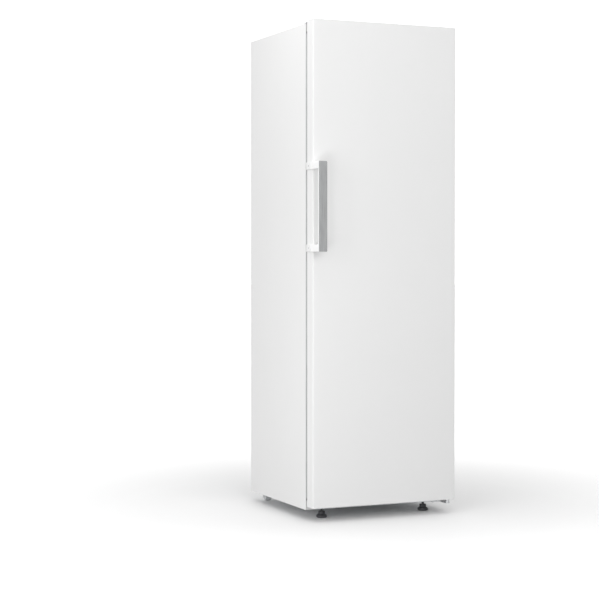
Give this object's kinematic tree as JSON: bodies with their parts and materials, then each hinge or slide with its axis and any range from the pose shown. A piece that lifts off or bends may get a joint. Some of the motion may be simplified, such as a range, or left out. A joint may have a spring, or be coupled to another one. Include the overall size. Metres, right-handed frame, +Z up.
{
  "type": "upright freezer",
  "caption": "Tall upright freezer with one hinged door, a side-mounted bar handle, pull-out drawers on glass shelves and a fan-cooled evaporator.",
  "frame": {"origin": "on the floor under the middle of the overall box", "axes": "+Z up, the door faces -Y, +X towards the hinge side"},
  "size_m": [0.599, 0.705, 1.85],
  "materials": {
    "white_steel": "smooth white enamel",
    "white_plastic": "smooth white moulding",
    "grey_plastic": "light grey moulding",
    "galvanised": "galvanised sheet",
    "liner_white": "white thermoformed sheet",
    "foam": "rigid foam",
    "hinge_steel": "zinc plated",
    "seal_grey": "soft grey seal",
    "clear_plastic": "clear moulding",
    "shelf_glass": "tempered glass",
    "black_enamel": "black enamel",
    "black_rubber": "rubber",
    "copper": "copper tube",
    "aluminium": "mill finish",
    "handle_metal": "brushed along its length",
    "lens": "frosted lens",
    "board_green": "circuit board",
    "dark_plastic": "dark moulding"
  },
  "bodies": {
    "cabinet": {"side_panel_left": "white_steel", "side_panel_right": "white_steel", "top_panel": "white_steel", "top_front_trim": "grey_plastic", "back_panel": "galvanised", "base_pan": "galvanised", "bay_panel": "galvanised", "compressor_tray": "galvanised", "bay_cover": "galvanised", "inner_liner": "liner_white", "cabinet_insulation": "foam", "hinge_bracket_top": "hinge_steel", "hinge_pin_top": "hinge_steel", "hinge_cover": "white_plastic", "hinge_bracket_bottom": "hinge_steel", "hinge_pin_bottom": "hinge_steel", "hinge_screws": "hinge_steel", "roller_brackets": "hinge_steel", "wall_spacers": "dark_plastic", "compressor": "black_enamel", "compressor_mounts": "black_rubber", "start_relay": "dark_plastic", "drip_tray": "white_plastic", "filter_drier": "copper", "condenser": "black_enamel", "refrigerant_pipes": "copper", "cord_gland": "dark_plastic", "evaporator": "aluminium", "evaporator_cover": "liner_white", "defrost_heater": "aluminium", "fan_motor": "dark_plastic", "control_housing": "white_plastic", "control_board": "board_green", "light_lens": "lens", "glass_shelves": "shelf_glass"},
    "door": {"door_skin": "white_steel", "door_cap_top": "white_plastic", "door_cap_bottom": "white_plastic", "door_liner": "liner_white", "door_insulation": "foam", "door_gasket": "seal_grey", "hinge_bushes": "dark_plastic", "handle_grip": "white_plastic", "handle_trim": "handle_metal", "handle_arms": "white_plastic", "handle_screws": "hinge_steel"},
    "foot_left": {"foot_left": "dark_plastic"},
    "foot_right": {"foot_right": "dark_plastic"},
    "roller_left": {"roller_left": "dark_plastic"},
    "roller_right": {"roller_right": "dark_plastic"},
    "fan_blade": {"fan_blade": "white_plastic"},
    "temperature_dial": {"temperature_dial": "grey_plastic"},
    "drawer_1": {"drawer_1": "clear_plastic"},
    "drawer_2": {"drawer_2": "clear_plastic"},
    "drawer_3": {"drawer_3": "clear_plastic"},
    "drawer_4": {"drawer_4": "clear_plastic"},
    "drawer_5": {"drawer_5": "clear_plastic"},
    "drawer_6": {"drawer_6": "clear_plastic"},
    "drawer_7": {"drawer_7": "clear_plastic"}
  },
  "joints": [
    {"name": "door_hinge", "type": "hinge", "parent": "cabinet", "child": "door", "pos_m": [0.2815, -0.2595, 0.95], "axis": [0, 0, 1], "range_deg": [0, 125]},
    {"name": "drawer_1_slide", "type": "slide", "parent": "cabinet", "child": "drawer_1", "axis": [0, -1, 0], "range_m": [0, 0.201]},
    {"name": "drawer_2_slide", "type": "slide", "parent": "cabinet", "child": "drawer_2", "axis": [0, -1, 0], "range_m": [0, 0.1836]},
    {"name": "drawer_3_slide", "type": "slide", "parent": "cabinet", "child": "drawer_3", "axis": [0, -1, 0], "range_m": [0, 0.1661]},
    {"name": "drawer_4_slide", "type": "slide", "parent": "cabinet", "child": "drawer_4", "axis": [0, -1, 0], "range_m": [0, 0.1487]},
    {"name": "drawer_5_slide", "type": "slide", "parent": "cabinet", "child": "drawer_5", "axis": [0, -1, 0], "range_m": [0, 0.1312]},
    {"name": "drawer_6_slide", "type": "slide", "parent": "cabinet", "child": "drawer_6", "axis": [0, -1, 0], "range_m": [0, 0.1137]},
    {"name": "drawer_7_slide", "type": "slide", "parent": "cabinet", "child": "drawer_7", "axis": [0, -1, 0], "range_m": [0, 0.0963]},
    {"name": "dial_turn", "type": "hinge", "parent": "cabinet", "child": "temperature_dial", "pos_m": [0.1, -0.21, 1.755], "axis": [0, -1, 0], "range_deg": [-135, 135]},
    {"name": "fan_spin", "type": "hinge", "parent": "cabinet", "child": "fan_blade", "pos_m": [0, 0.214, 0.9], "axis": [0, 1, 0], "continuous": true},
    {"name": "foot_left_turn", "type": "hinge", "parent": "cabinet", "child": "foot_left", "pos_m": [-0.215, -0.185, 0.03], "axis": [0, 0, 1], "continuous": true},
    {"name": "foot_right_turn", "type": "hinge", "parent": "cabinet", "child": "foot_right", "pos_m": [0.215, -0.185, 0.03], "axis": [0, 0, 1], "continuous": true},
    {"name": "roller_left_spin", "type": "hinge", "parent": "cabinet", "child": "roller_left", "pos_m": [-0.24, 0.285, 0.017], "axis": [1, 0, 0], "continuous": true},
    {"name": "roller_right_spin", "type": "hinge", "parent": "cabinet", "child": "roller_right", "pos_m": [0.24, 0.285, 0.017], "axis": [1, 0, 0], "continuous": true}
  ],
  "couplings": [
    {"joint": "drawer_1_slide", "follows": "door_hinge", "m_per_rad": 0.092},
    {"joint": "drawer_2_slide", "follows": "door_hinge", "m_per_rad": 0.084},
    {"joint": "drawer_3_slide", "follows": "door_hinge", "m_per_rad": 0.076},
    {"joint": "drawer_4_slide", "follows": "door_hinge", "m_per_rad": 0.068},
    {"joint": "drawer_5_slide", "follows": "door_hinge", "m_per_rad": 0.06},
    {"joint": "drawer_6_slide", "follows": "door_hinge", "m_per_rad": 0.052},
    {"joint": "drawer_7_slide", "follows": "door_hinge", "m_per_rad": 0.044}
  ]
}
